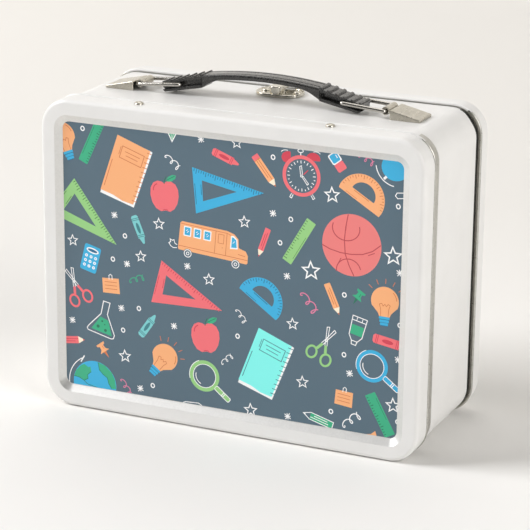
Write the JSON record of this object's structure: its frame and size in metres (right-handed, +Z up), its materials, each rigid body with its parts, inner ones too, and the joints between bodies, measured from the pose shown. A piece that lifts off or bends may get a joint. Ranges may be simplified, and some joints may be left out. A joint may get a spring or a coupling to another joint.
{
  "type": "metal lunch box",
  "caption": "Rounded rectangular tin lunch box standing on its long edge, with recessed printed panels, a hinged back cover, a drop handle and a snap latch on top.",
  "frame": {"origin": "middle of the footprint, on the surface that the box stands on", "axes": "+X to the right seen from the front, +Y from the front to the back, +Z up"},
  "size_m": [0.216, 0.0944, 0.1831],
  "materials": {
    "white_paint": "semi-gloss white powder coat",
    "tinplate": "bare satin tinplate",
    "printed_aluminium": "gloss sublimation print on aluminium, bare satin rim",
    "adhesive_film": "clear adhesive film",
    "nickel": "satin nickel plate",
    "bright_wire": "bright nickel plated wire",
    "black_plastic": "satin moulded black plastic"
  },
  "bodies": {
    "root": {"body_band": "white_paint", "front_cover": "white_paint", "front_panel": "printed_aluminium", "front_panel_adhesive": "adhesive_film", "front_cover_rivets": "nickel", "left_hinge_body_leaf": "tinplate", "right_hinge_body_leaf": "tinplate", "left_hinge_pin": "tinplate", "right_hinge_pin": "tinplate", "body_leaf_rivets": "tinplate", "left_bracket": "nickel", "right_bracket": "nickel", "latch_base": "nickel", "latch_base_rivets": "nickel"},
    "door": {"back_cover": "white_paint", "back_panel": "printed_aluminium", "back_panel_adhesive": "adhesive_film", "left_hinge_door_leaf": "tinplate", "right_hinge_door_leaf": "tinplate", "door_leaf_rivets": "tinplate", "hasp_bracket": "nickel", "hasp_pin": "bright_wire", "hasp_bracket_rivets": "nickel"},
    "hasp": {"latch_hasp": "nickel"},
    "handle": {"handle": "black_plastic"},
    "left_wire": {"left_wire": "bright_wire"},
    "right_wire": {"right_wire": "bright_wire"}
  },
  "joints": [
    {"name": "door_hinge", "type": "hinge", "parent": "root", "child": "door", "pos_m": [0, 0.0342, 0.00155], "axis": [-1, 0, 0], "range_deg": [0, 100]},
    {"name": "hasp_pivot", "type": "hinge", "parent": "door", "child": "hasp", "pos_m": [0, 0.0386, 0.1723], "axis": [-1, 0, 0], "range_deg": [0, 120]},
    {"name": "handle_lift", "type": "slide", "parent": "root", "child": "handle", "axis": [0, 0, 1], "range_m": [0, 0.0186]},
    {"name": "left_wire_pivot", "type": "hinge", "parent": "root", "child": "left_wire", "pos_m": [-0.07, 0, 0.17265], "axis": [0, -1, 0], "range_deg": [0, 45.5]},
    {"name": "right_wire_pivot", "type": "hinge", "parent": "root", "child": "right_wire", "pos_m": [0.07, 0, 0.17265], "axis": [0, 1, 0], "range_deg": [0, 45.5]}
  ],
  "couplings": [
    {"joint": "left_wire_pivot", "follows": "handle_lift", "rad_per_m": 42.22},
    {"joint": "right_wire_pivot", "follows": "handle_lift", "rad_per_m": 42.22}
  ]
}
